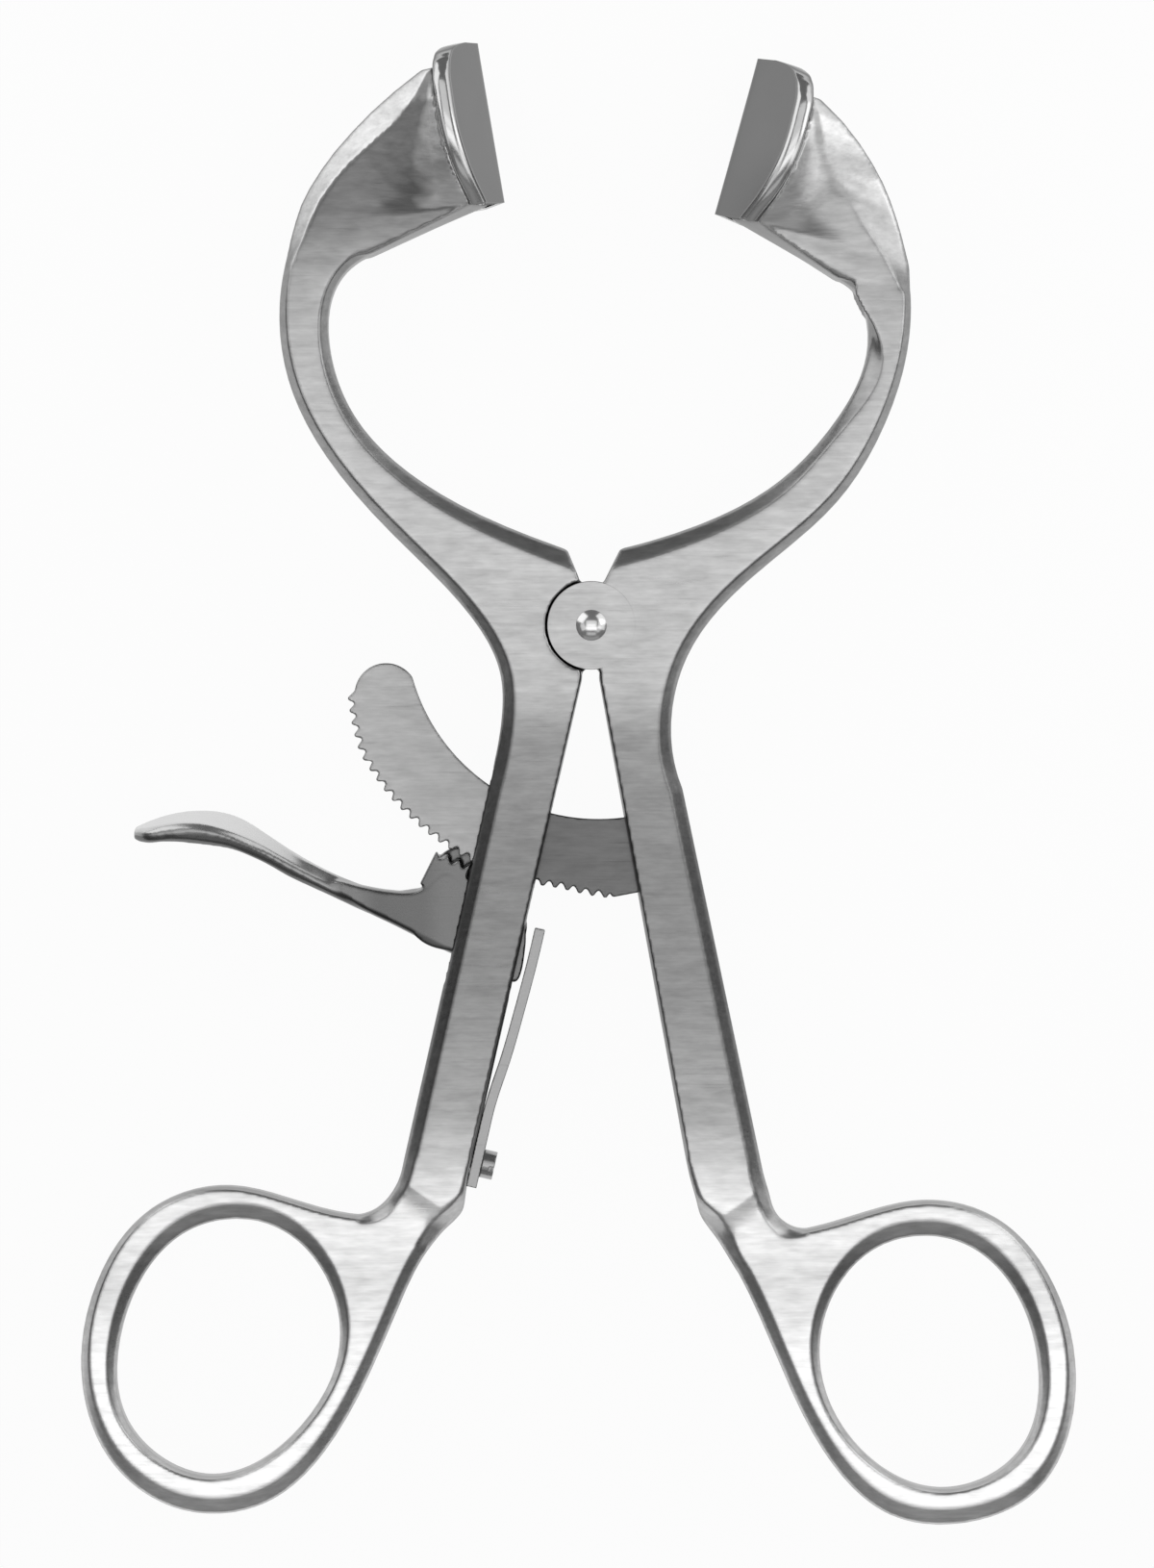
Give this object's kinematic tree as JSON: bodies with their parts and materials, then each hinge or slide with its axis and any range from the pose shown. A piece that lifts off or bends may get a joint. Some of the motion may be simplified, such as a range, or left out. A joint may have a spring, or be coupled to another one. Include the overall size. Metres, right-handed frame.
{
  "type": "mouth gag",
  "caption": "Surgical mouth gag: two riveted steel levers with finger rings, flared bite plates and a toothed locking arc with a sprung thumb pawl.",
  "frame": {"origin": "on the pivot axis, in the flat back face of the lap joint", "axes": "+Y from the finger rings to the jaws, +Z out of the front, where the rivet's domed head is, +X towards the lever that carries the ratchet arc"},
  "size_m": [0.1037, 0.1546, 0.0174],
  "materials": {
    "lever_steel": "satin brushed",
    "plate_steel": "polished rim, fine ground faces",
    "rivet_steel": "polished",
    "arc_steel": "satin",
    "pawl_steel": "satin, polished thumb pad",
    "spring_steel": "satin",
    "screw_steel": "turned"
  },
  "bodies": {
    "left_lever": {"left_lever": "lever_steel", "left_bite_plate": "plate_steel", "pivot_rivet": "rivet_steel", "pawl_pin": "rivet_steel", "leaf_spring": "spring_steel", "spring_screw": "screw_steel"},
    "right_lever": {"right_lever": "lever_steel", "right_bite_plate": "plate_steel", "ratchet_arc": "arc_steel"},
    "pawl_lever": {"pawl_lever": "pawl_steel"}
  },
  "joints": [
    {"name": "main_hinge", "type": "hinge", "parent": "left_lever", "child": "right_lever", "pos_m": [0, 0, 0.003], "axis": [0, 0, 1], "range_deg": [-16.32, 27.2]},
    {"name": "pawl_hinge", "type": "hinge", "parent": "left_lever", "child": "pawl_lever", "pos_m": [-0.009, -0.0313, 0.003], "axis": [0, 0, 1], "range_deg": [-7.2, 5], "stiffness_Nm_per_rad": 0.05, "springref_deg": -7.2, "deforming": ["leaf_spring"]}
  ]
}
